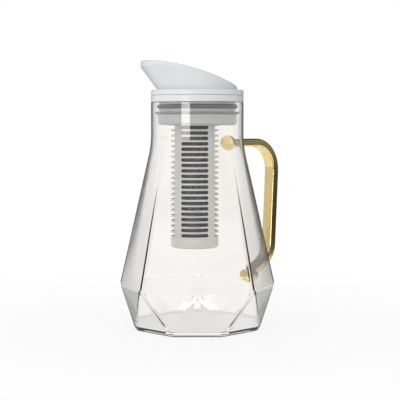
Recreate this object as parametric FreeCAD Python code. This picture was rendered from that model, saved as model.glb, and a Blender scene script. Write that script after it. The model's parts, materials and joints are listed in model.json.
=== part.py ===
import FreeCAD, Part
import math
import os

# Water filter pitcher: a faceted glass jug with a gold bar handle, a plug lid with a
# swivelling pour spout and flap, and a slotted filter cage that hangs from the plug.
# Millimetres and degrees. Z is up, the origin is the centre of the base and the handle
# points along +X. The lid is drawn with its spout along -X and turned into place.

# Jug
jug_sides = 8
base_corner_radius = 63.0
belt_corner_radius = 74.5
belt_height = 41.5
rim_height = 215.5
neck_length = 40.1
neck_radius = 44.0
glass_wall = 2.6
glass_floor = 5.0
foot_round = 5.0
rim_round = 0.8

# Handle
handle_width = 13.0
handle_thickness = 7.6
handle_edge_round = 1.8
handle_arm_rise = 1.1
grip_top_reach = 109.0
grip_bottom_reach = 102.4
grip_bottom_rise = 19.1
handle_upper_bend = 28.0
handle_lower_bend = 22.0
pad_half_width = 9.6
pad_half_height = 7.2
pad_depth = 4.5
pad_edge_round = 2.0
lower_pad_rise = 1.5

# Lid plug
lid_turn = -45.0
flange_thickness = 6.3
flange_edge_round = 0.5
plug_depth = 21.8
plug_clearance = 3.7
plug_neck_clearance = 4.8
plug_wall = 4.0
plug_floor = 2.5
plug_corner_round = 3.0
seal_groove_depth = 1.6
snap_depth = 0.9
snap_height = 1.4
snap_rise = 1.3

# Seals of the plug
bead_drop = 2.0
bead_height = 4.4
bead_clearance = 3.0
bead_flat = 1.4
lip_drop = 9.2
lip_height = 2.6
lip_tip = 0.8
seal_clearance = 0.4

# Air vent of the plug
vent_radius = 2.2
vent_angle = 60.0
vent_inset = 3.4
vent_clearance = 0.1
valve_radius = 4.2
valve_thickness = 0.9
valve_head_radius = 3.0
valve_head_height = 2.0

# Spout cap
seam_gap = 0.2
cap_height = 5.0
cap_edge_round = 1.6
cap_wall = 2.0
spigot_depth = 9.2
spigot_wall = 3.0
spigot_clearance = 0.3
collar_ledge = 6.3
spout_wall = 2.2
spout_edge_round = 1.9
flare_margin = 3.6
flare_overhang = 23.1
rim_overhang = 15.9
rim_widening = 10.3
crown_front_inset = 3.6
crown_front_rise = 27.4
crown_back_rise = 3.6
crown_sag = 4.6

# Gasket of the cap
cap_gasket_section = 0.75
cap_gasket_rise = 0.8
gasket_fit = 0.05

# Flap and its hinge
flap_thickness = 3.0
flap_gap = 0.3
flap_edge_round = 0.5
rest_ledge_width = 1.4
rest_ledge_height = 1.4
pin_radius = 0.9
pin_fit = 0.02
pin_running_clearance = 0.06
pin_inset = 28.7
knuckle_radius = 2.2
knuckle_half_length = 9.5
hinge_gap = 0.3
ear_length = 4.2
barrel_end_gap = 3.6
pin_end_inset = 1.2

# Filter cage
cage_shift = 2.4
cage_share = 0.5435
cage_wall = 1.9
cage_drop = 116.7
cage_floor = 3.0
cage_corner_round = 3.0
post_width = 8.9
slot_height = 3.3
slot_pitch = 5.09
slot_round = 1.1
slot_top_margin = 0.5
band_height = 10.6
socket_wall = 2.0
socket_depth = 12.3
socket_roof = 2.0
socket_clearance = 0.3
cage_top_gap = 0.3
cage_ring_section = 0.6
cage_ring_drop = 3.2

# End cap of the cage
end_cap_clearance = 0.3
end_cap_ledge = 2.7
lug_count = 3
lug_depth = 2.0
lug_height = 2.0
lug_angle = 30.0
lug_notch_margin = 4.0
end_cap_turn = 60.0
grip_slot_margin = 5.6
grip_slot_width = 3.0
grip_slot_depth = 1.6
locator_radius = 5.0
locator_height = 1.2
locator_clearance = 0.2

# Filter cartridge
cartridge_clearance = 0.7
cartridge_cap_thickness = 3.0
sleeve_inset = 0.7
sleeve_wall = 0.5
packing_clearance = 0.1
felt_thickness = 1.5
core_share = 0.3636
core_wall = 1.2
core_hole_radius = 1.4
core_hole_pitch = 10.0
core_holes_per_row = 4
outlet_radius = 7.0
outlet_wall = 2.0
outlet_boss = 5.0
outlet_bore_radius = 4.0
outlet_clearance = 0.6
outlet_ring_section = 0.7
outlet_ring_gap = 0.25

# One length past every cut face, and the tolerance for picking edges by place
cut_overrun = 4.0
match_tolerance = 0.001

# Levels and radii that follow from the sizes above
neck_inner_radius = neck_radius - glass_wall
shoulder_height = rim_height - neck_length
handle_arm_height = shoulder_height + handle_arm_rise
grip_bottom_height = belt_height + grip_bottom_rise
flange_top = rim_height + flange_thickness
plug_bottom = rim_height - plug_depth
plug_radius = neck_inner_radius - plug_clearance
plug_neck_radius = neck_inner_radius - plug_neck_clearance
bead_radius = neck_inner_radius - bead_clearance
plug_bore_radius = plug_radius - plug_wall
vent_reach = plug_bore_radius - vent_inset
seal_seat_radius = plug_neck_radius - seal_groove_depth
cap_bottom = flange_top + seam_gap
cap_top = cap_bottom + cap_height
crown_front_height = cap_top + crown_front_rise
crown_back_height = cap_top + crown_back_rise
spout_radius = neck_radius - collar_ledge
flare_height = crown_front_rise + flare_margin
flare_front_reach = spout_radius + flare_overhang
rim_front_reach = spout_radius + rim_overhang
rim_radius = spout_radius + rim_widening
crown_front_reach = rim_front_reach - crown_front_inset
pin_reach = spout_radius - pin_inset
barrel_half_length = math.sqrt(spout_radius ** 2 - pin_reach ** 2) - barrel_end_gap
cage_radius = cage_share * neck_inner_radius
socket_radius = cage_radius + socket_clearance
socket_outer_radius = socket_radius + socket_wall
socket_top = plug_bottom + socket_depth
cage_bottom = plug_bottom - cage_drop
cage_inner_radius = cage_radius - cage_wall
cage_top = socket_top - cage_top_gap
end_cap_hole_radius = cage_inner_radius - end_cap_ledge
end_cap_radius = end_cap_hole_radius - end_cap_clearance
cartridge_cap_radius = end_cap_hole_radius - cartridge_clearance
sleeve_radius = cartridge_cap_radius - sleeve_inset
core_radius = core_share * sleeve_radius
snap_bottom = rim_height + snap_rise
cartridge_seat = cage_bottom + cage_floor + end_cap_clearance + lug_height
packing_bottom = cartridge_seat + cartridge_cap_thickness
packing_top = plug_bottom + felt_thickness

Vector = FreeCAD.Vector
ORIGIN = Vector(0, 0, 0)
ALONG_X = Vector(1, 0, 0)
ALONG_Y = Vector(0, 1, 0)
UP = Vector(0, 0, 1)


def ring(inner, outer, bottom, top):
    """Plain ring about the vertical axis."""
    seat = Vector(0, 0, bottom)
    body = Part.makeCylinder(outer, top - bottom, seat)
    return body.cut(Part.makeCylinder(inner, top - bottom, seat))


def turned(outline):
    """Solid of revolution about the vertical axis from (radius, height) corners."""
    corners = [Vector(radius, 0, height) for radius, height in outline]
    face = Part.Face(Part.makePolygon(corners + corners[:1]))
    solid = Part.Solid(face.revolve(ORIGIN, UP, 360).Shells[0])
    if solid.Volume < 0:
        solid.reverse()
    return solid


def flat_face(corners):
    """Flat face with straight sides."""
    return Part.Face(Part.makePolygon(corners + corners[:1]))


def round_edges(shape, radius, chosen):
    """Round every edge that the test picks out."""
    return shape.makeFillet(radius, [edge for edge in shape.Edges if chosen(edge)])


def same(first, second):
    return abs(first - second) < match_tolerance


def is_ring(edge, radius, height):
    """True for a level circle of that radius at that height."""
    if not isinstance(edge.Curve, Part.Circle):
        return False
    return same(edge.Curve.Radius, radius) and same(edge.Curve.Center.z, height)


def at_lid(shape):
    """Turn a lid piece from its drawing direction to its place on the jug."""
    placed = shape.copy()
    placed.rotate(ORIGIN, UP, lid_turn)
    return placed


def at_cage(shape):
    """Shift a cage piece to the socket's axis, then turn it with the lid."""
    shifted = shape.copy()
    shifted.translate(Vector(-cage_shift, 0, 0))
    return at_lid(shifted)


def octagon(corner_radius, height, half_steps):
    """Corners of a level polygon, turned by a number of half sides."""
    half_side = math.pi / jug_sides
    angles = [(2 * side + half_steps) * half_side for side in range(jug_sides)]
    return [Vector(corner_radius * math.cos(a), corner_radius * math.sin(a), height) for a in angles]


def round_of_arcs(radius, height):
    """Circle made of one arc per side, so that it lofts to the polygon side by side."""
    ends = octagon(radius, height, 0)
    middles = octagon(radius, height, 1)
    arcs = []
    for side in range(jug_sides):
        following = ends[(side + 1) % jug_sides]
        arcs.append(Part.Arc(ends[side], middles[side], following).toShape())
    return Part.Wire(arcs)


def faceted_form(belt_corner, base_corner, base_level, neck, top_level):
    """Triangular facets up to the belt, ridges that fade into the shoulder, a round neck."""
    belt = octagon(belt_corner, belt_height, 0)
    base = octagon(base_corner, base_level, 1)
    faces = [flat_face(belt), flat_face(base)]
    for side in range(jug_sides):
        faces.append(flat_face([belt[side], base[side - 1], base[side]]))
        faces.append(flat_face([belt[side], base[side], belt[(side + 1) % jug_sides]]))
    lower = Part.Solid(Part.makeShell(faces))
    if lower.Volume < 0:
        lower.reverse()
    belt_wire = Part.makePolygon(belt + belt[:1])
    upper = Part.makeLoft([belt_wire, round_of_arcs(neck, shoulder_height)], True, True)
    neck_tube = Part.makeCylinder(neck, top_level - shoulder_height, Vector(0, 0, shoulder_height))
    return lower.fuse([upper, neck_tube]).removeSplitter()


def jug_outside():
    """Outer form of the jug, filled, with its foot rounded."""
    form = faceted_form(belt_corner_radius, base_corner_radius, 0, neck_radius, rim_height)

    def on_foot(edge):
        return all(same(corner.Z, 0) for corner in edge.Vertexes)

    return round_edges(form, foot_round, on_foot)


def glass_body():
    """One-piece glass jug with an even wall."""
    corner_wall = glass_wall / math.cos(math.pi / jug_sides)
    hollow = faceted_form(
        belt_corner_radius - corner_wall,
        base_corner_radius - corner_wall,
        glass_floor,
        neck_inner_radius,
        rim_height + cut_overrun,
    )
    body = jug_outside().cut(hollow)

    def on_rim(edge):
        outer = is_ring(edge, neck_radius, rim_height)
        return outer or is_ring(edge, neck_inner_radius, rim_height)

    return round_edges(body, rim_round, on_rim)


def bent_strip(points, bends, thickness, width):
    """Flat bar along a bent line in the XZ plane, with a tangent arc at each inner point."""
    half = thickness / 2
    left_side = []
    right_side = []

    def offset(point, direction, distance):
        return Vector(point.x - direction.z * distance, 0, point.z + direction.x * distance)

    runs = [(after - before).normalize() for before, after in zip(points, points[1:])]
    left_points = [offset(points[0], runs[0], half)]
    right_points = [offset(points[0], runs[0], -half)]
    for corner, bend, before, after in zip(points[1:-1], bends, runs, runs[1:]):
        turn = before.getAngle(after)
        bisector = (after - before).normalize()
        tangent = bend * math.tan(turn / 2)
        centre = corner + bisector * (bend / math.cos(turn / 2))
        entry = corner - before * tangent
        leave = corner + after * tangent
        for side, sign in ((left_points, 1), (right_points, -1)):
            start = offset(entry, before, sign * half)
            radius = start.distanceToPoint(centre)
            side.append((start, centre - bisector * radius, offset(leave, after, sign * half)))
    left_points.append(offset(points[-1], runs[-1], half))
    right_points.append(offset(points[-1], runs[-1], -half))

    for chain, edges in ((left_points, left_side), (right_points, right_side)):
        place = chain[0]
        for start, middle, end in chain[1:-1]:
            edges.append(Part.makeLine(place, start))
            edges.append(Part.Arc(start, middle, end).toShape())
            place = end
        edges.append(Part.makeLine(place, chain[-1]))
    first_end = Part.makeLine(left_points[0], right_points[0])
    last_end = Part.makeLine(left_points[-1], right_points[-1])
    outline = Part.Wire(Part.__sortEdges__(left_side + right_side + [first_end, last_end]))
    bar = Part.Face(outline).extrude(ALONG_Y * width)
    bar.translate(ALONG_Y * (-width / 2))
    return bar


def handle_pad(wall_reach, height):
    """Oval button that spreads the end of the handle on the glass."""
    inside = wall_reach - neck_radius / 2
    longer = max(pad_half_width, pad_half_height)
    shorter = min(pad_half_width, pad_half_height)
    oval = Part.Ellipse(ORIGIN, longer, shorter).toShape()
    if pad_half_width >= pad_half_height:
        oval.rotate(ORIGIN, UP, 90)
    oval.rotate(ORIGIN, ALONG_Y, 90)
    oval.translate(Vector(inside, 0, height))
    outer_reach = wall_reach + pad_depth
    button = Part.Face(Part.Wire(oval)).extrude(ALONG_X * (outer_reach - inside))

    def on_front(edge):
        return same(edge.CenterOfMass.x, outer_reach) and same(edge.BoundBox.XLength, 0)

    return round_edges(button, pad_edge_round, on_front)


def handle():
    """Bent gold bar with a pad at each end, bonded to the neck and to a belt corner."""
    lower_height = belt_height + lower_pad_rise
    route = [
        Vector(neck_inner_radius, 0, handle_arm_height),
        Vector(grip_top_reach, 0, handle_arm_height),
        Vector(grip_bottom_reach, 0, grip_bottom_height),
        Vector(belt_corner_radius - glass_wall, 0, lower_height),
    ]
    bends = [handle_upper_bend, handle_lower_bend]
    bar = bent_strip(route, bends, handle_thickness, handle_width)

    def along_bar(edge):
        on_side = same(abs(edge.CenterOfMass.y), handle_width / 2)
        return on_side and edge.Length > handle_thickness + match_tolerance

    bar = round_edges(bar, handle_edge_round, along_bar)
    upper_pad = handle_pad(neck_radius, handle_arm_height)
    lower_pad = handle_pad(belt_corner_radius, lower_height)
    return bar.fuse([upper_pad, lower_pad]).cut(jug_outside())


def plug_socket():
    """Sleeve and roof in the plug that take the top of the cage, with the outlet boss."""
    roof_top = socket_top + socket_roof
    boss_radius = outlet_radius + outlet_wall
    sleeve = turned([
        (socket_radius, plug_bottom),
        (socket_outer_radius, plug_bottom),
        (socket_outer_radius, roof_top),
        (outlet_radius, roof_top),
        (outlet_radius, socket_top - outlet_boss),
        (boss_radius, socket_top - outlet_boss),
        (boss_radius, socket_top),
        (socket_radius, socket_top),
    ])
    sleeve.translate(Vector(-cage_shift, 0, 0))
    return sleeve


def vent_place(height):
    """Point on the vent's axis."""
    angle = math.radians(vent_angle)
    return Vector(vent_reach * math.cos(angle), vent_reach * math.sin(angle), height)


def lid_plug():
    """Cup that fills the neck: rim flange, seal grooves, cage socket and air vent."""
    bead_top = rim_height - bead_drop
    bead_bottom = bead_top - bead_height
    lip_top = rim_height - lip_drop
    lip_bottom = lip_top - lip_height
    floor_top = plug_bottom + plug_floor
    snap_radius = plug_bore_radius + snap_depth
    snap_top = snap_bottom + snap_height + 2 * spigot_clearance
    cup = turned([
        (0, plug_bottom),
        (plug_radius, plug_bottom),
        (plug_radius, lip_bottom),
        (seal_seat_radius, lip_bottom),
        (seal_seat_radius, lip_top),
        (plug_neck_radius, lip_top),
        (plug_neck_radius, bead_bottom),
        (seal_seat_radius, bead_bottom),
        (seal_seat_radius, bead_top),
        (plug_neck_radius, bead_top),
        (plug_neck_radius, rim_height),
        (neck_radius, rim_height),
        (neck_radius, flange_top),
        (plug_bore_radius, flange_top),
        (plug_bore_radius, snap_top),
        (snap_radius, snap_top),
        (snap_radius, snap_bottom),
        (plug_bore_radius, snap_bottom),
        (plug_bore_radius, floor_top),
        (0, floor_top),
    ])
    cup = round_edges(cup, plug_corner_round, lambda edge: is_ring(edge, plug_radius, plug_bottom))

    def on_flange(edge):
        return is_ring(edge, neck_radius, rim_height) or is_ring(edge, neck_radius, flange_top)

    cup = round_edges(cup, flange_edge_round, on_flange)
    mouth_height = plug_floor + 2 * cut_overrun
    mouth_seat = Vector(-cage_shift, 0, plug_bottom - cut_overrun)
    cup = cup.cut(Part.makeCylinder(socket_radius, mouth_height, mouth_seat))
    vent = Part.makeCylinder(vent_radius, mouth_height, vent_place(plug_bottom - cut_overrun))
    return at_lid(cup.fuse(plug_socket()).removeSplitter().cut(vent))


def upper_seal_ring():
    """Silicone bead with a blunt outer edge, seated in the plug's upper groove."""
    top = rim_height - bead_drop
    middle = top - bead_height / 2
    return turned([
        (seal_seat_radius, top - bead_height),
        (plug_neck_radius, top - bead_height),
        (bead_radius, middle - bead_flat / 2),
        (bead_radius, middle + bead_flat / 2),
        (plug_neck_radius, top),
        (seal_seat_radius, top),
    ])


def lower_lip_seal():
    """Silicone ring with a thin lip that wipes the inside of the neck."""
    top = rim_height - lip_drop
    tip_radius = neck_inner_radius - seal_clearance
    return turned([
        (seal_seat_radius, top - lip_height),
        (plug_radius, top - lip_height),
        (tip_radius, top - lip_tip),
        (tip_radius, top),
        (seal_seat_radius, top),
    ])


def vent_valve():
    """Umbrella valve that lets air into the jug while it pours."""
    stem_radius = vent_radius - vent_clearance
    floor_top = plug_bottom + plug_floor
    valve = turned([
        (0, plug_bottom - valve_thickness),
        (valve_radius, plug_bottom - valve_thickness),
        (valve_radius, plug_bottom),
        (stem_radius, plug_bottom),
        (stem_radius, floor_top),
        (valve_head_radius, floor_top),
        (stem_radius, floor_top + valve_head_height),
        (0, floor_top + valve_head_height),
    ])
    valve.translate(vent_place(0))
    return at_lid(valve)


def crown(lowered):
    """Space under the lid's curved top, as a level cylinder along Y, lowered by a depth."""
    front = Vector(-crown_front_reach, 0, crown_front_height)
    back = Vector(spout_radius, 0, crown_back_height)
    chord = back - front
    across = Vector(-chord.z, 0, chord.x).normalize()
    radius = (chord.Length ** 2 / 4 + crown_sag ** 2) / (2 * crown_sag)
    centre = (front + back) / 2 + across * (crown_sag - radius)
    length = 2 * (rim_front_reach + cut_overrun)
    seat = centre - ALONG_Y * (length / 2)
    return Part.makeCylinder(radius - lowered, length, seat, ALONG_Y)


def crown_height(reach):
    """Height of the curved top over a point on the lid's middle line."""
    surface = crown(0).Faces[0].Surface
    aside = reach - surface.Center.x
    return surface.Center.z + math.sqrt(surface.Radius ** 2 - aside ** 2)


def spout_form(inset):
    """Flared spout, round at its foot, leaning forward, with an upright front rim."""
    flare_radius = (flare_front_reach + spout_radius) / 2
    flare_centre = Vector(spout_radius - flare_radius, 0, cap_top + flare_height)
    foot = Part.makeCircle(spout_radius - inset, Vector(0, 0, cap_top), UP)
    brim = Part.makeCircle(flare_radius - inset, flare_centre, UP)
    flare = Part.makeLoft([Part.Wire(foot), Part.Wire(brim)], True, True)
    rim_seat = Vector(rim_radius - rim_front_reach, 0, cap_top)
    return flare.common(Part.makeCylinder(rim_radius - inset, flare_height, rim_seat))


def hinge_bar(radius, start, length):
    """Round bar on the hinge line."""
    seat = Vector(pin_reach, start, crown_height(pin_reach) - knuckle_radius)
    return Part.makeCylinder(radius, length, seat, ALONG_Y)


def box_between(low, high):
    """Upright box from its lowest to its highest corner."""
    size = high - low
    return Part.makeBox(size.x, size.y, size.z, low)


def past_hinge(start, width, reach):
    """Box across the lid from a reach backwards, over a stretch of the hinge line."""
    far = spout_radius + cut_overrun
    top = cap_top + flare_height
    return box_between(Vector(reach, start, cap_top), Vector(far, start + width, top))


def ear_starts():
    """Where the two ears begin along the hinge line."""
    return (knuckle_half_length + hinge_gap, -knuckle_half_length - hinge_gap - ear_length)


def hinge_ears():
    """Two knuckles on the front edge of the cap's deck that hold the hinge pin."""
    pin_height = crown_height(pin_reach) - knuckle_radius
    arm_end = pin_reach + 2 * knuckle_radius + hinge_gap
    ears = []
    for start in ear_starts():
        low = Vector(pin_reach, start, pin_height - knuckle_radius)
        high = Vector(arm_end, start + ear_length, pin_height + knuckle_radius)
        arm = box_between(low, high)
        ears.append(arm.fuse(hinge_bar(knuckle_radius, start, ear_length)).common(crown(0)))
    return ears


def cap_base():
    """Swivel ring of the cap: skirt, deck and the spigot that snaps into the plug."""
    spigot_outer = plug_bore_radius - spigot_clearance
    spigot_inner = spigot_outer - spigot_wall
    spigot_bottom = cap_bottom - spigot_depth
    gasket_bottom = spigot_bottom + cap_gasket_rise
    gasket_top = gasket_bottom + 2 * (cap_gasket_section + gasket_fit)
    gasket_seat = spigot_outer - 2 * cap_gasket_section
    snap_low = snap_bottom + spigot_clearance
    snap_radius = spigot_outer + snap_depth
    deck_bottom = cap_top - cap_wall
    base = turned([
        (spigot_inner, spigot_bottom),
        (spigot_outer, spigot_bottom),
        (spigot_outer, gasket_bottom),
        (gasket_seat, gasket_bottom),
        (gasket_seat, gasket_top),
        (spigot_outer, gasket_top),
        (spigot_outer, snap_low),
        (snap_radius, snap_low),
        (spigot_outer, snap_low + snap_height),
        (spigot_outer, deck_bottom),
        (neck_radius - cap_wall, deck_bottom),
        (neck_radius - cap_wall, cap_bottom),
        (neck_radius, cap_bottom),
        (neck_radius, cap_top),
        (spigot_inner, cap_top),
    ])
    base = round_edges(base, cap_edge_round, lambda edge: is_ring(edge, neck_radius, cap_top))
    return round_edges(base, flange_edge_round, lambda edge: is_ring(edge, neck_radius, cap_bottom))


def on_crown(edge):
    """True for an edge whose middle lies on the lid's curved top."""
    middle = edge.valueAt((edge.FirstParameter + edge.LastParameter) / 2)
    return same(middle.z, crown_height(middle.x))


def is_flap_rim(edge):
    """True for a curved edge on the lid's curved top."""
    return on_crown(edge) and not isinstance(edge.Curve, Part.Line)


def rest_ledge():
    """Narrow step inside the front of the spout that the closed flap rests on."""
    lowered = flap_thickness + flap_gap
    band = spout_form(spout_wall).cut(spout_form(spout_wall + rest_ledge_width))
    band = band.common(crown(lowered)).cut(crown(lowered + rest_ledge_height))
    return band.cut(past_hinge(-flare_front_reach, 2 * flare_front_reach, 0))


def spout_cap():
    """Swivelling cap with its flared pour spout, the fixed deck behind the flap and the hinge ears."""
    rounded = round_edges(spout_form(0).common(crown(0)), spout_edge_round, on_crown)
    inside = spout_form(spout_wall)
    deck_front = pin_reach + knuckle_radius + hinge_gap
    deck = inside.common(crown(0)).cut(crown(flap_thickness))
    deck = deck.common(past_hinge(-spout_radius, 2 * spout_radius, deck_front))
    cap = cap_base().fuse([rounded.cut(inside), deck, rest_ledge()] + hinge_ears())
    bore_length = 2 * (knuckle_half_length + hinge_gap + ear_length)
    pin_bore = hinge_bar(pin_radius + pin_fit, -bore_length / 2, bore_length)
    return at_lid(cap.cut(pin_bore).removeSplitter())


def cap_gasket():
    """Silicone ring in the spigot's groove."""
    spigot_outer = plug_bore_radius - spigot_clearance
    middle = cap_bottom - spigot_depth + cap_gasket_rise + cap_gasket_section + gasket_fit
    ring_radius = spigot_outer - cap_gasket_section + gasket_fit
    return Part.makeTorus(ring_radius, cap_gasket_section, Vector(0, 0, middle))


def spout_flap():
    """Curved plate set into the mouth, with a hinge barrel along its back edge."""
    plate = spout_form(spout_wall + flap_gap).common(crown(0)).cut(crown(flap_thickness))
    far = spout_radius + cut_overrun
    plate = plate.cut(past_hinge(-far, 2 * far, pin_reach))
    plate = round_edges(plate, flap_edge_round, is_flap_rim)
    front = pin_reach - knuckle_radius - hinge_gap
    corner_starts = (barrel_half_length, -barrel_half_length - far)
    plate = plate.cut([past_hinge(start, far, front) for start in corner_starts])
    plate = plate.fuse(hinge_bar(knuckle_radius, -barrel_half_length, 2 * barrel_half_length))
    ear_room = ear_length + 2 * hinge_gap
    plate = plate.cut([past_hinge(start - hinge_gap, ear_room, front) for start in ear_starts()])
    bore_radius = pin_radius + pin_running_clearance
    bore = hinge_bar(bore_radius, -barrel_half_length, 2 * barrel_half_length)
    return at_lid(plate.cut(bore).removeSplitter())


def flap_hinge_pin():
    """Steel pin through the flap's barrel and the ears between its parts."""
    half_length = barrel_half_length - pin_end_inset
    return at_lid(hinge_bar(pin_radius, -half_length, 2 * half_length))


def slot_cutters():
    """Crossed bars, one pair per row, that open four columns of slots."""
    length = 2 * (cage_radius + cut_overrun)
    post_angle = math.asin(post_width / (2 * cage_radius))
    slot_width = 2 * cage_radius * math.sin(math.pi / 4 - post_angle)
    bar = Part.makeBox(length, slot_width, slot_height)
    bar = round_edges(bar, slot_round, lambda edge: same(edge.BoundBox.XLength, length))
    bar.translate(Vector(-length / 2, -slot_width / 2, -slot_height / 2))
    first_row = plug_bottom - slot_top_margin - slot_height / 2
    last_row = cage_bottom + band_height + slot_height / 2
    rows = 1 + int((first_row - last_row) / slot_pitch)
    cutters = []
    for row in range(rows):
        for turn in (0, 90):
            cutter = bar.copy()
            cutter.rotate(ORIGIN, UP, turn)
            cutter.translate(Vector(0, 0, first_row - row * slot_pitch))
            cutters.append(cutter)
    return cutters


def sector(inner, outer, bottom, top, middle_angle, width):
    """Part of a ring between two angles."""
    wedge = Part.makeCylinder(outer, top - bottom, Vector(0, 0, bottom), UP, width)
    wedge = wedge.cut(Part.makeCylinder(inner, top - bottom, Vector(0, 0, bottom)))
    wedge.rotate(ORIGIN, UP, middle_angle - width / 2)
    return wedge


def filter_cage():
    """Slotted tube with a groove near its top and a floor ring notched for the end cap."""
    floor_top = cage_bottom + cage_floor
    groove_middle = cage_top - cage_ring_drop
    groove_half = cage_ring_section + gasket_fit
    groove_radius = cage_radius - 2 * cage_ring_section + gasket_fit
    tube = turned([
        (end_cap_hole_radius, cage_bottom),
        (cage_radius, cage_bottom),
        (cage_radius, groove_middle - groove_half),
        (groove_radius, groove_middle - groove_half),
        (groove_radius, groove_middle + groove_half),
        (cage_radius, groove_middle + groove_half),
        (cage_radius, cage_top),
        (cage_inner_radius, cage_top),
        (cage_inner_radius, floor_top),
        (end_cap_hole_radius, floor_top),
    ])
    tube = round_edges(tube, cage_corner_round, lambda edge: is_ring(edge, cage_radius, cage_bottom))
    notches = []
    for lug in range(lug_count):
        notches.append(sector(
            end_cap_radius,
            end_cap_radius + lug_depth + end_cap_clearance,
            cage_bottom - cut_overrun,
            floor_top + cut_overrun,
            lug * 360 / lug_count + end_cap_turn,
            lug_angle + lug_notch_margin,
        ))
    return at_cage(tube.cut(slot_cutters() + notches))


def cage_o_ring():
    """Silicone ring that grips the cage in its socket."""
    groove_radius = cage_radius - 2 * cage_ring_section + gasket_fit
    ring_radius = groove_radius + cage_ring_section + gasket_fit
    return at_cage(Part.makeTorus(ring_radius, cage_ring_section, Vector(0, 0, cage_top - cage_ring_drop)))


def cage_end_cap():
    """Round door in the cage's floor, held by lugs that turn out through notches."""
    radius = end_cap_radius
    lug_bottom = cage_bottom + cage_floor + end_cap_clearance
    half_slot = radius - grip_slot_margin
    disc = Part.makeCylinder(radius, cartridge_seat - cage_bottom, Vector(0, 0, cage_bottom))
    locator = Part.makeCylinder(locator_radius, locator_height, Vector(0, 0, cartridge_seat))
    lugs = []
    for lug in range(lug_count):
        middle = lug * 360 / lug_count
        lugs.append(sector(
            radius - cage_wall, radius + lug_depth, lug_bottom, cartridge_seat, middle, lug_angle
        ))
    grip_slot = box_between(
        Vector(-half_slot, -grip_slot_width / 2, cage_bottom - cut_overrun),
        Vector(half_slot, grip_slot_width / 2, cage_bottom + grip_slot_depth),
    )
    return at_cage(disc.fuse(lugs + [locator]).removeSplitter().cut(grip_slot))


def cartridge_bottom_cap():
    """Closed end of the cartridge, with a dimple over the door's locator."""
    dimple_radius = locator_radius + locator_clearance
    dimple_top = cartridge_seat + locator_height + locator_clearance
    return at_cage(turned([
        (dimple_radius, cartridge_seat),
        (cartridge_cap_radius, cartridge_seat),
        (cartridge_cap_radius, packing_bottom),
        (0, packing_bottom),
        (0, dimple_top),
        (dimple_radius, dimple_top),
    ]))


def outlet_ring_middle():
    """Height of the ring that seals the cartridge's outlet in the plug."""
    return socket_top - outlet_boss / 2


def cartridge_top_cap():
    """Open end of the cartridge: a disc with the outlet spigot and its ring groove."""
    cap_upper = packing_top + cartridge_cap_thickness
    spigot_outer = outlet_radius - outlet_clearance
    groove_radius = outlet_radius - outlet_ring_gap - 2 * outlet_ring_section
    groove_half = outlet_ring_section + gasket_fit
    return at_cage(turned([
        (outlet_bore_radius, packing_top),
        (cartridge_cap_radius, packing_top),
        (cartridge_cap_radius, cap_upper),
        (spigot_outer, cap_upper),
        (spigot_outer, outlet_ring_middle() - groove_half),
        (groove_radius, outlet_ring_middle() - groove_half),
        (groove_radius, outlet_ring_middle() + groove_half),
        (spigot_outer, outlet_ring_middle() + groove_half),
        (spigot_outer, socket_top + socket_roof),
        (outlet_bore_radius, socket_top + socket_roof),
    ]))


def outlet_o_ring():
    """Silicone ring on the outlet spigot."""
    ring_radius = outlet_radius - outlet_ring_gap - outlet_ring_section + gasket_fit
    return at_cage(Part.makeTorus(ring_radius, outlet_ring_section, Vector(0, 0, outlet_ring_middle())))


def mesh_sleeve():
    """Thin mesh tube round the carbon, between the two cartridge caps."""
    return at_cage(ring(sleeve_radius - sleeve_wall, sleeve_radius, packing_bottom, packing_top))


def packing_ring(bottom, top):
    """Filling between the core tube and the mesh."""
    inner = core_radius + packing_clearance
    outer = sleeve_radius - sleeve_wall - packing_clearance
    return at_cage(ring(inner, outer, bottom, top))


def core_tube():
    """Tube up the middle of the cartridge, with rows of holes that drain to the outlet."""
    tube = ring(core_radius - core_wall, core_radius, packing_bottom, packing_top)
    rows = int((packing_top - packing_bottom) / core_hole_pitch)
    margin = (packing_top - packing_bottom - (rows - 1) * core_hole_pitch) / 2
    drills = []
    for row in range(rows):
        height = packing_bottom + margin + row * core_hole_pitch
        for hole in range(core_holes_per_row):
            angle = math.radians(hole * 360 / core_holes_per_row)
            outward = Vector(math.cos(angle), math.sin(angle), 0)
            length = core_radius + cut_overrun
            drills.append(Part.makeCylinder(core_hole_radius, length, Vector(0, 0, height), outward))
    return at_cage(tube.cut(drills))


os.makedirs("parts", exist_ok=True)
pieces = {
    "glass_body": glass_body(),
    "handle": handle(),
    "lid_plug": lid_plug(),
    "upper_seal_ring": upper_seal_ring(),
    "lower_lip_seal": lower_lip_seal(),
    "vent_valve": vent_valve(),
    "spout_cap": spout_cap(),
    "cap_gasket": cap_gasket(),
    "flap_hinge_pin": flap_hinge_pin(),
    "spout_flap": spout_flap(),
    "filter_cage": filter_cage(),
    "cage_o_ring": cage_o_ring(),
    "cage_end_cap": cage_end_cap(),
    "cartridge_bottom_cap": cartridge_bottom_cap(),
    "cartridge_top_cap": cartridge_top_cap(),
    "outlet_o_ring": outlet_o_ring(),
    "mesh_sleeve": mesh_sleeve(),
    "carbon_bed": packing_ring(packing_bottom + felt_thickness, packing_top - felt_thickness),
    "lower_felt_pad": packing_ring(packing_bottom, packing_bottom + felt_thickness),
    "upper_felt_pad": packing_ring(packing_top - felt_thickness, packing_top),
    "core_tube": core_tube(),
}
for name, shape in pieces.items():
    shape.exportStep("parts/" + name + ".step")
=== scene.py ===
import json
import math

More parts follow.
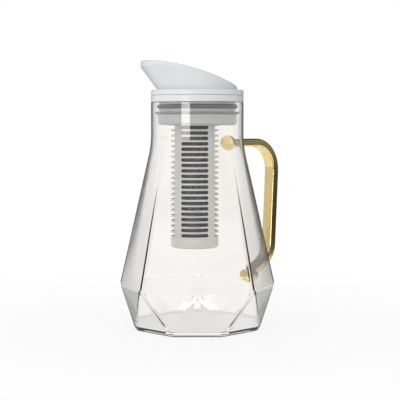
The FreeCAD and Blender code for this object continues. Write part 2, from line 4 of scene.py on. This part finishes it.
import bmesh
import bpy
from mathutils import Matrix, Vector


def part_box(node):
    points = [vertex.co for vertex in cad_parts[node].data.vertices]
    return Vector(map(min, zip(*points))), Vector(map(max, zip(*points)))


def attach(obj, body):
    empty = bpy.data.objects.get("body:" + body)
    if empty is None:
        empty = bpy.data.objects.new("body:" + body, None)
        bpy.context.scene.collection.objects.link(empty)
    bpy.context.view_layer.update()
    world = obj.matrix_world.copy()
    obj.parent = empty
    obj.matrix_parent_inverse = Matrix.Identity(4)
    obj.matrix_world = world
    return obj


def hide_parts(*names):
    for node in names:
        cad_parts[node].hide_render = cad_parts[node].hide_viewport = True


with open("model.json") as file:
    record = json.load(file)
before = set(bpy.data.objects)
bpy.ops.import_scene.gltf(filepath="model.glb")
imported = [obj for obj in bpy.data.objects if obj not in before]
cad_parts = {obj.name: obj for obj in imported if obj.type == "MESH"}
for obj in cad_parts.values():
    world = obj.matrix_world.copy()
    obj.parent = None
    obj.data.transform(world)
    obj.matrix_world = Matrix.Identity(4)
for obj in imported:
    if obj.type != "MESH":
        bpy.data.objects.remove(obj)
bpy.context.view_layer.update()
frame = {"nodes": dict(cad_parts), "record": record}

# Looks of the water filter pitcher. Lengths in metres, in the CAD frame.

nodes = frame["nodes"]
scene = bpy.context.scene

# Photograph: a square picture, with the jug's axis, base and eye level in pixels
picture_side = 400
metre_per_pixel = 0.0009565
axis_column = 197.3
base_row = 327.9
eye_row = 125.0
camera_distance = 1.10
sensor_width = 36.0
view_direction = Vector((1, 1, 0)).normalized()
view_right = Vector((1, -1, 0)).normalized()

# Glass jug: the sizes of its solid, with softer edges and base corners turned by a share of a side
jug_sides = 8
base_turn_share = 0.5
columns_per_side = 12
shoulder_rows = 6
bend_rows = 6
base_corner_radius = 0.063
belt_corner_radius = 0.0745
belt_height = 0.0415
rim_height = 0.2155
neck_length = 0.0401
neck_radius = 0.044
glass_wall = 0.0026
glass_floor = 0.005
shoulder_height = rim_height - neck_length
shoulder_bend = 0.010
edge_segments = 4

# Widths of the jug's rounded edges, of which the foot's is the widest
outer_edge_width = 0.0028
inner_edge_width = 0.0018
ridge_width = 0.0008
foot_edge_width = 0.0034
rim_edge_width = 0.0008

# Layer that holds each edge's width as a share of the widest
weight_layer = "bevel_weight_edge"

# Places of the glass finishes in the jug's list of materials, where its own floor comes first
outer_finish = 1
inner_finish = 2

# Filter cage's axis, from the cage's own box
cage_low, cage_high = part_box("filter_cage")
cage_axis = (cage_low + cage_high) / 2

# Places of the two tones of a pattern on its colour ramp
dark_share = 0.3
light_share = 0.7

# Height that the lamps are aimed at
lamp_aim_height = 0.14


def grey(level):
    """Colour without a hue."""
    return level, level, level


def new_material(name):
    """Material with its node tree and its Principled shader."""
    made = bpy.data.materials.new(name)
    made.use_nodes = True
    return made, made.node_tree, made.node_tree.nodes["Principled BSDF"]


def add_node(tree, kind, values=None):
    """Node of a kind, with some of its inputs set."""
    made = tree.nodes.new(kind)
    for name, value in (values or {}).items():
        made.inputs[name].default_value = value
    return made


def math_node(tree, operation, *values):
    """Math node on sockets or numbers."""
    made = tree.nodes.new("ShaderNodeMath")
    made.operation = operation
    for place, value in enumerate(values):
        if isinstance(value, (int, float)):
            made.inputs[place].default_value = value
        else:
            tree.links.new(value, made.inputs[place])
    return made.outputs[0]


def object_place(tree, stretch=(1, 1, 1)):
    """Place on the piece, in metres, with each direction stretched."""
    place = add_node(tree, "ShaderNodeTexCoord")
    mapping = add_node(tree, "ShaderNodeMapping", {"Scale": stretch})
    tree.links.new(place.outputs["Object"], mapping.inputs["Vector"])
    return mapping.outputs["Vector"]


def noise(tree, size, detail=3.0, stretch=(1, 1, 1)):
    """Noise whose grains have about that size."""
    made = add_node(tree, "ShaderNodeTexNoise", {"Scale": 1 / size, "Detail": detail})
    tree.links.new(object_place(tree, stretch), made.inputs["Vector"])
    return made.outputs["Fac"]


def tones(tree, factor, stops):
    """Colour ramp from (place, colour) stops."""
    ramp = add_node(tree, "ShaderNodeValToRGB")
    tree.links.new(factor, ramp.inputs["Fac"])
    elements = ramp.color_ramp.elements
    while len(elements) < len(stops):
        elements.new(1)
    for element, (place, colour) in zip(elements, stops):
        element.position = place
        element.color = (*colour, 1)
    return ramp.outputs["Color"]


def two_tones(tree, factor, dark, light):
    """Colour that runs from a dark to a light tone with a pattern."""
    return tones(tree, factor, [(dark_share, dark), (light_share, light)])


def between(tree, factor, low, high):
    """Number that runs from low to high with the factor."""
    spread = add_node(tree, "ShaderNodeMapRange", {"To Min": low, "To Max": high})
    tree.links.new(factor, spread.inputs["Value"])
    return spread.outputs["Result"]


def between_levels(tree, value, low, high):
    """Number from 0 to 1 while a value runs from low to high."""
    spread = add_node(tree, "ShaderNodeMapRange", {"From Min": low, "From Max": high})
    tree.links.new(value, spread.inputs["Value"])
    return spread.outputs["Result"]


def relief(tree, shader, heights, depth, strength=1.0):
    """Bump of that depth from a height pattern."""
    bump = add_node(tree, "ShaderNodeBump", {"Strength": strength, "Distance": depth})
    tree.links.new(heights, bump.inputs["Height"])
    tree.links.new(bump.outputs["Normal"], shader.inputs["Normal"])


def moulded(name, dark, light, rough_low, rough_high, blotch, grain, depth):
    """Moulded plastic: faint flow marks, a fine grain and an uneven gloss."""
    made, tree, shader = new_material(name)
    flow = noise(tree, blotch)
    fine = noise(tree, grain, detail=2.0)
    tree.links.new(two_tones(tree, flow, dark, light), shader.inputs["Base Color"])
    tree.links.new(between(tree, flow, rough_low, rough_high), shader.inputs["Roughness"])
    relief(tree, shader, fine, depth)
    return made


def clear_glass(name, edge_shade_stops):
    """Clear pressed glass: faint waves, a trace of haze and painted shade that darkens its colour towards
    the edges, where the wall is seen at a slant.
    """
    haze_size = 0.03
    haze_roughness = 0.02
    wave_size = 0.035
    wave_depth = 0.0003
    wave_strength = 0.15
    made, tree, shader = new_material(name)
    facing = add_node(tree, "ShaderNodeLayerWeight", {"Blend": 0.5})
    # Painted shade: the colour darkens as the surface is seen more at a slant, standing in for the dark
    # edges of glass.
    tree.links.new(tones(tree, facing.outputs["Facing"], edge_shade_stops), shader.inputs["Base Color"])
    haze = between(tree, noise(tree, haze_size), 0, haze_roughness)
    tree.links.new(haze, shader.inputs["Roughness"])
    shader.inputs["Transmission Weight"].default_value = 1.0
    shader.inputs["IOR"].default_value = 1.5
    relief(tree, shader, noise(tree, wave_size, detail=1.0), wave_depth, wave_strength)
    return made


def outer_glass():
    """Outside of the jug, with painted shade that darkens it almost to black where the wall is seen along
    its length.
    """
    return clear_glass("clear_glass", [
        (0.0, (0.985, 0.978, 0.965)),
        (0.45, (0.93, 0.925, 0.91)),
        (0.64, (0.82, 0.815, 0.80)),
        (0.70, (0.16, 0.16, 0.155)),
        (0.78, (0.03, 0.03, 0.03)),
    ])


def inner_glass():
    """Inside of the jug, whose painted shade at the edges darkens less."""
    return clear_glass("clear_glass_inside", [
        (0.0, (0.985, 0.978, 0.965)),
        (0.45, (0.94, 0.935, 0.92)),
        (0.62, (0.85, 0.845, 0.83)),
        (0.80, (0.38, 0.38, 0.37)),
        (1.0, (0.20, 0.20, 0.195)),
    ])


def base_glass():
    """Thick floor of the jug, with painted shade that makes it a little greyer when it is seen along."""
    return clear_glass("clear_glass_base", [
        (0.0, (0.95, 0.945, 0.93)),
        (0.25, (0.80, 0.795, 0.78)),
        (1.0, (0.70, 0.695, 0.68)),
    ])


def gold_metal():
    """Polished gold plate with faint upright streaks."""
    streak_width = 0.0022
    streak_stretch = (1, 1, 0.05)
    streak_depth = 0.0002
    streak_strength = 0.3
    smooth = 0.06
    rough = 0.16
    made, tree, shader = new_material("gold_metal")
    streaks = noise(tree, streak_width, detail=2.0, stretch=streak_stretch)
    gold = two_tones(tree, streaks, dark=(0.80, 0.62, 0.24), light=(0.90, 0.74, 0.36))
    tree.links.new(gold, shader.inputs["Base Color"])
    tree.links.new(between(tree, streaks, smooth, rough), shader.inputs["Roughness"])
    shader.inputs["Metallic"].default_value = 1.0
    relief(tree, shader, streaks, streak_depth, streak_strength)
    return made


def lid_plastic():
    """Cool white glossy moulding."""
    return moulded(
        "lid_plastic",
        dark=(0.745, 0.765, 0.775),
        light=(0.765, 0.785, 0.795),
        rough_low=0.22,
        rough_high=0.30,
        blotch=0.05,
        grain=0.0007,
        depth=0.00001,
    )


def cage_plastic():
    """Light grey satin moulding."""
    return moulded(
        "cage_plastic",
        dark=(0.80, 0.80, 0.77),
        light=(0.85, 0.85, 0.82),
        rough_low=0.3,
        rough_high=0.45,
        blotch=0.012,
        grain=0.0006,
        depth=0.00001,
    )


def cartridge_plastic():
    """Grey matt moulding."""
    return moulded(
        "cartridge_plastic",
        dark=(0.26, 0.27, 0.27),
        light=(0.33, 0.34, 0.34),
        rough_low=0.45,
        rough_high=0.6,
        blotch=0.01,
        grain=0.0006,
        depth=0.00002,
    )


def dark_silicone():
    """Dark grey silicone with a dull bloom."""
    return moulded(
        "dark_silicone",
        dark=(0.22, 0.225, 0.22),
        light=(0.29, 0.295, 0.29),
        rough_low=0.45,
        rough_high=0.65,
        blotch=0.006,
        grain=0.0005,
        depth=0.00002,
    )


def pale_silicone():
    """Pale grey silicone."""
    return moulded(
        "pale_silicone",
        dark=(0.42, 0.43, 0.41),
        light=(0.50, 0.51, 0.49),
        rough_low=0.4,
        rough_high=0.6,
        blotch=0.006,
        grain=0.0005,
        depth=0.00002,
    )


def pin_steel():
    """Drawn stainless pin with fine level scratches."""
    scratch_width = 0.0003
    scratch_stretch = (0.2, 0.2, 1)
    scratch_depth = 0.00001
    smooth = 0.2
    rough = 0.4
    made, tree, shader = new_material("pin_steel")
    scratches = noise(tree, scratch_width, detail=2.0, stretch=scratch_stretch)
    steel = two_tones(tree, scratches, dark=(0.50, 0.50, 0.51), light=(0.68, 0.68, 0.69))
    tree.links.new(steel, shader.inputs["Base Color"])
    shader.inputs["Metallic"].default_value = 1.0
    tree.links.new(between(tree, scratches, smooth, rough), shader.inputs["Roughness"])
    relief(tree, shader, scratches, scratch_depth)
    return made


def filter_mesh():
    """Dark woven mesh round the carbon, with grains of carbon showing through."""
    thread_pitch = 0.0009
    thread_depth = 0.0001
    thread_strength = 0.6
    weave_share = 0.06
    grain_size = 0.0024
    smooth = 0.45
    rough = 0.7
    made, tree, shader = new_material("filter_mesh")
    mesh_low, mesh_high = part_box("mesh_sleeve")
    mesh_radius = (mesh_high - mesh_low).x / 2
    parts = add_node(tree, "ShaderNodeSeparateXYZ")
    tree.links.new(object_place(tree), parts.inputs["Vector"])
    aside = math_node(tree, "SUBTRACT", parts.outputs["X"], cage_axis.x)
    ahead = math_node(tree, "SUBTRACT", parts.outputs["Y"], cage_axis.y)
    angle = math_node(tree, "ARCTAN2", ahead, aside)
    turns = 2 * math.pi / thread_pitch
    around = math_node(tree, "SINE", math_node(tree, "MULTIPLY", angle, mesh_radius * turns))
    upward = math_node(tree, "SINE", math_node(tree, "MULTIPLY", parts.outputs["Z"], turns))
    weave = math_node(tree, "MULTIPLY", around, upward)
    grains = noise(tree, grain_size, detail=4.0)
    mixed = math_node(tree, "MULTIPLY_ADD", weave, weave_share, grains)
    threads = tones(tree, mixed, [
        (0.32, (0.05, 0.05, 0.055)),
        (0.68, (0.20, 0.20, 0.215)),
    ])
    tree.links.new(threads, shader.inputs["Base Color"])
    tree.links.new(between(tree, grains, smooth, rough), shader.inputs["Roughness"])
    relief(tree, shader, weave, thread_depth, thread_strength)
    return made


def carbon():
    """Black granules, with painted shade that darkens the gaps between them."""
    granule_size = 0.0016
    granule_depth = 0.0006
    smooth = 0.35
    rough = 0.8
    made, tree, shader = new_material("carbon")
    cells = add_node(tree, "ShaderNodeTexVoronoi", {"Scale": 1 / granule_size})
    tree.links.new(object_place(tree), cells.inputs["Vector"])
    distance = cells.outputs["Distance"]
    # Painted shade: each granule is lighter at its middle and darker towards the gaps between granules.
    black = tones(tree, distance, [
        (0.0, (0.09, 0.09, 0.095)),
        (0.8, (0.02, 0.02, 0.022)),
    ])
    tree.links.new(black, shader.inputs["Base Color"])
    tree.links.new(between(tree, distance, smooth, rough), shader.inputs["Roughness"])
    relief(tree, shader, distance, granule_depth)
    return made


def felt():
    """White pressed felt with loose fibres."""
    fibre_size = 0.0005
    fibre_depth = 0.0003
    made, tree, shader = new_material("felt")
    fibres = noise(tree, fibre_size, detail=6.0)
    white = two_tones(tree, fibres, dark=(0.55, 0.55, 0.52), light=(0.78, 0.78, 0.75))
    tree.links.new(white, shader.inputs["Base Color"])
    shader.inputs["Roughness"].default_value = 0.95
    shader.inputs["Sheen Weight"].default_value = 0.4
    relief(tree, shader, fibres, fibre_depth)
    return made


def dress_nodes():
    """Give every CAD node the material of its slot in the record. Gives the materials by slot."""
    makers = {
        "clear_glass": outer_glass,
        "gold_metal": gold_metal,
        "lid_plastic": lid_plastic,
        "cage_plastic": cage_plastic,
        "cartridge_plastic": cartridge_plastic,
        "dark_silicone": dark_silicone,
        "pale_silicone": pale_silicone,
        "pin_steel": pin_steel,
        "filter_mesh": filter_mesh,
        "carbon": carbon,
        "felt": felt,
    }
    made = {slot: maker() for slot, maker in makers.items()}
    for piece in frame["record"]["subparts"]:
        for slot in nodes[piece["node"]].material_slots:
            slot.material = made[piece["material_slot"]]
    return made


def around_axis(radius, turn, height):
    """Point on a level circle, after a number of the jug's sides."""
    angle = 2 * math.pi * turn / jug_sides
    return Vector((radius * math.cos(angle), radius * math.sin(angle), height))


def wall_point(belt_corner, neck, turn, height):
    """Point on the straight line that runs from the belt up to the neck."""
    side = math.floor(turn)
    left = around_axis(belt_corner, side, belt_height)
    right = around_axis(belt_corner, side + 1, belt_height)
    share = (height - belt_height) / (shoulder_height - belt_height)
    return left.lerp(right, turn - side).lerp(around_axis(neck, turn, shoulder_height), share)


def bend_point(belt_corner, neck, turn, share):
    """Point on the soft bend from the sloping wall into the upright neck."""
    low = wall_point(belt_corner, neck, turn, shoulder_height - shoulder_bend)
    middle = around_axis(neck, turn, shoulder_height)
    high = around_axis(neck, turn, shoulder_height + shoulder_bend)
    return low.lerp(middle, share).lerp(middle.lerp(high, share), share)


def jug_shell(mesh, inset, base_level, edge_width, foot_width, finish):
    """One skin of the jug: facets, ridges that fade out and a round neck. Gives the rim's ring."""
    corner_inset = inset / math.cos(math.pi / jug_sides)
    belt_corner = belt_corner_radius - corner_inset
    base_corner = base_corner_radius - corner_inset
    neck = neck_radius - inset
    columns = jug_sides * columns_per_side
    turns = [column / columns_per_side for column in range(columns)]
    rise = shoulder_height - shoulder_bend - belt_height
    rows = []
    for row in range(shoulder_rows):
        height = belt_height + rise * row / shoulder_rows
        rows.append([wall_point(belt_corner, neck, turn, height) for turn in turns])
    for row in range(bend_rows + 1):
        share = row / bend_rows
        rows.append([bend_point(belt_corner, neck, turn, share) for turn in turns])
    rows.append([around_axis(neck, turn, rim_height) for turn in turns])
    rings = [[mesh.verts.new(point) for point in row] for row in rows]
    base_turns = [side + base_turn_share for side in range(jug_sides)]
    corners = [around_axis(base_corner, turn, base_level) for turn in base_turns]
    base = [mesh.verts.new(corner) for corner in corners]
    belt = rings[0]
    mesh.faces.new(base)
    walls = []
    for low, high in zip(rings, rings[1:]):
        for column in range(columns):
            following = (column + 1) % columns
            walls.append(mesh.faces.new((low[column], low[following], high[following], high[column])))
    weight = mesh.edges.layers.float[weight_layer]
    for side in range(jug_sides):
        first = side * columns_per_side
        run = [belt[(first + step) % columns] for step in range(columns_per_side + 1)]
        walls.append(mesh.faces.new(run + [base[side]]))
        walls.append(mesh.faces.new((belt[first], base[side - 1], base[side])))
        ridge = [ring[first] for ring in rings[:shoulder_rows + 1]]
        triangle = (base[side - 1], belt[first], base[side], base[side - 1])
        for chain, width in ((run, edge_width), (ridge, ridge_width), (triangle, foot_width)):
            for before, after in zip(chain, chain[1:]):
                mesh.edges.get((before, after))[weight] = width / foot_edge_width
    for wall in walls:
        wall.material_index = finish
    return rings[-1]


def add_glass_jug(*finishes):
    """Glass jug with softly rounded edges inside and outside, in place of the sharp solid."""
    mesh = bmesh.new()
    weight = mesh.edges.layers.float.new(weight_layer)
    outer_rim = jug_shell(mesh, 0, 0, outer_edge_width, foot_edge_width, outer_finish)
    inner_rim = jug_shell(mesh, glass_wall, glass_floor, inner_edge_width, inner_edge_width, inner_finish)
    for column, (outer, inner) in enumerate(zip(outer_rim, inner_rim)):
        mesh.faces.new((outer_rim[column - 1], outer, inner, inner_rim[column - 1]))
    for ring in (outer_rim, inner_rim):
        for before, after in zip(ring, ring[1:] + ring[:1]):
            mesh.edges.get((before, after))[weight] = rim_edge_width / foot_edge_width
    bmesh.ops.recalc_face_normals(mesh, faces=mesh.faces)
    for face in mesh.faces:
        face.smooth = True
    data = bpy.data.meshes.new("glass_jug")
    mesh.to_mesh(data)
    mesh.free()
    jug = bpy.data.objects.new("glass_jug", data)
    scene.collection.objects.link(jug)
    for finish in finishes:
        data.materials.append(finish)
    soften = jug.modifiers.new("soft_edges", "BEVEL")
    soften.limit_method = "WEIGHT"
    soften.width = foot_edge_width
    soften.segments = edge_segments
    soften.use_clamp_overlap = False
    jug.modifiers.new("even_normals", "WEIGHTED_NORMAL")
    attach(jug, "jug")
    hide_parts("glass_body")


def set_camera():
    """Camera at the photograph's place: eye level near the top of the neck, aimed a little down."""
    middle = picture_side / 2
    eye_height = (base_row - eye_row) * metre_per_pixel
    middle_height = (base_row - middle) * metre_per_pixel
    middle_aside = (middle - axis_column) * metre_per_pixel
    data = bpy.data.cameras.new("camera")
    camera = bpy.data.objects.new("camera", data)
    scene.collection.objects.link(camera)
    place = view_direction * -camera_distance + Vector((0, 0, eye_height))
    target = view_right * middle_aside + Vector((0, 0, middle_height))
    camera.location = place
    camera.rotation_euler = (target - place).to_track_quat("-Z", "Y").to_euler()
    data.sensor_width = sensor_width
    data.lens = sensor_width * (target - place).length / (picture_side * metre_per_pixel)
    scene.camera = camera


def set_world():
    """White surroundings for the eye and through glass, a dim room in reflections, a plain fill light."""
    fill_strength = 0.70
    wall_starts = -0.032
    wall_full = -0.018
    right_starts = 0.80
    right_full = 0.95
    wall_gain = 5.0
    world = bpy.data.worlds.new("studio")
    scene.world = world
    world.use_nodes = True
    tree = world.node_tree
    tree.nodes.remove(tree.nodes["Background"])
    path = add_node(tree, "ShaderNodeLightPath")
    place = add_node(tree, "ShaderNodeTexCoord")
    aside = add_node(tree, "ShaderNodeVectorMath")
    aside.operation = "DOT_PRODUCT"
    aside.inputs[1].default_value = view_right
    tree.links.new(place.outputs["Generated"], aside.inputs[0])
    # The room is pale at the left and dark at the right, with a paler wall there from just below level up
    room = tones(tree, between_levels(tree, aside.outputs["Value"], -1, 1), [
        (0.0, grey(0.75)),
        (0.15, grey(0.45)),
        (0.35, grey(0.14)),
        (1.0, grey(0.05)),
    ])
    heading = add_node(tree, "ShaderNodeSeparateXYZ")
    tree.links.new(place.outputs["Generated"], heading.inputs["Vector"])
    above = between_levels(tree, heading.outputs["Z"], wall_starts, wall_full)
    rightmost = between_levels(tree, aside.outputs["Value"], right_starts, right_full)
    wall = math_node(tree, "MULTIPLY", above, rightmost)
    mirrored = add_node(tree, "ShaderNodeBackground")
    tree.links.new(room, mirrored.inputs["Color"])
    tree.links.new(math_node(tree, "MULTIPLY_ADD", wall, wall_gain, 1), mirrored.inputs["Strength"])
    fill = add_node(tree, "ShaderNodeBackground", {"Color": (1, 1, 1, 1), "Strength": fill_strength})
    white = add_node(tree, "ShaderNodeBackground", {"Color": (1, 1, 1, 1), "Strength": 1})
    lit = add_node(tree, "ShaderNodeMixShader")
    tree.links.new(path.outputs["Is Glossy Ray"], lit.inputs["Fac"])
    tree.links.new(fill.outputs[0], lit.inputs[1])
    tree.links.new(mirrored.outputs[0], lit.inputs[2])
    shown = add_node(tree, "ShaderNodeMixShader")
    seen = math_node(tree, "MAXIMUM", path.outputs["Is Camera Ray"], path.outputs["Is Transmission Ray"])
    tree.links.new(seen, shown.inputs["Fac"])
    tree.links.new(lit.outputs[0], shown.inputs[1])
    tree.links.new(white.outputs[0], shown.inputs[2])
    tree.links.new(shown.outputs[0], tree.nodes["World Output"].inputs["Surface"])


def add_floor():
    """Pale floor that keeps the jug's shadow and fades into the white surroundings."""
    floor_half = 0.5
    floor_drop = 0.0003
    blotch = 0.5
    fade_start = 0.10
    fade_end = 0.45
    white_share = 0.86
    ends = (-floor_half, floor_half)
    corners = [(x, y, -floor_drop) for x in ends for y in ends]
    mesh = bpy.data.meshes.new("floor")
    mesh.from_pydata(corners, [], [(0, 2, 3, 1)])
    floor = bpy.data.objects.new("floor", mesh)
    scene.collection.objects.link(floor)
    made, tree, shader = new_material("floor")
    pale = two_tones(tree, noise(tree, blotch), dark=grey(0.86), light=grey(0.88))
    tree.links.new(pale, shader.inputs["Base Color"])
    shader.inputs["Roughness"].default_value = 0.9
    path = add_node(tree, "ShaderNodeLightPath")
    in_glass = math_node(tree, "MAXIMUM", path.outputs["Is Glossy Ray"], path.outputs["Is Transmission Ray"])
    seen = math_node(tree, "MAXIMUM", path.outputs["Is Camera Ray"], in_glass)
    reach = add_node(tree, "ShaderNodeVectorMath")
    reach.operation = "LENGTH"
    tree.links.new(object_place(tree), reach.inputs[0])
    far = between_levels(tree, reach.outputs["Value"], fade_start, fade_end)
    share = between(tree, far, white_share, 1)
    glow = add_node(tree, "ShaderNodeEmission", {"Color": (1, 1, 1, 1), "Strength": 1})
    mix = add_node(tree, "ShaderNodeMixShader")
    tree.links.new(math_node(tree, "MULTIPLY", seen, share), mix.inputs["Fac"])
    tree.links.new(shader.outputs[0], mix.inputs[1])
    tree.links.new(glow.outputs[0], mix.inputs[2])
    tree.links.new(mix.outputs[0], tree.nodes["Material Output"].inputs["Surface"])
    floor.data.materials.append(made)


def add_softbox(name, turn, height, distance, width, tall, brightness, shows=False, shines_in=True):
    """Soft lamp round the jug, which may show in reflections and may shine in through the glass."""
    aim = Vector((0, 0, lamp_aim_height))
    angle = math.radians(turn)
    toward = view_direction * -math.cos(angle) + view_right * math.sin(angle)
    data = bpy.data.lights.new(name, "AREA")
    data.shape = "RECTANGLE"
    data.size = width
    data.size_y = tall
    data.energy = brightness * math.pi * width * tall
    lamp = bpy.data.objects.new(name, data)
    scene.collection.objects.link(lamp)
    lamp.location = toward * distance + Vector((0, 0, height))
    lamp.rotation_euler = (aim - lamp.location).to_track_quat("-Z", "Y").to_euler()
    lamp.visible_glossy = shows
    lamp.visible_transmission = shines_in


def add_lamps():
    """A low key lamp, a low lamp that glints on the glass, and two high lamps."""
    add_softbox(
        "key_light",
        turn=-35.0,
        height=0.18,
        distance=2.5,
        width=1.53,
        tall=0.36,
        brightness=5.0,
        shines_in=False,
    )
    add_softbox(
        "glint_light",
        turn=-29.0,
        height=0.2,
        distance=2.5,
        width=0.95,
        tall=0.4,
        brightness=5.0,
        shows=True,
    )
    add_softbox(
        "left_light",
        turn=-100.0,
        height=0.9,
        distance=1.2,
        width=0.8,
        tall=0.5,
        brightness=1.2,
    )
    add_softbox(
        "front_light",
        turn=-8.0,
        height=1.2,
        distance=1.1,
        width=0.6,
        tall=0.6,
        brightness=2.6,
    )


materials = dress_nodes()
add_glass_jug(base_glass(), materials["clear_glass"], inner_glass())
set_camera()
set_world()
add_floor()
add_lamps()
scene.view_settings.view_transform = "Standard"
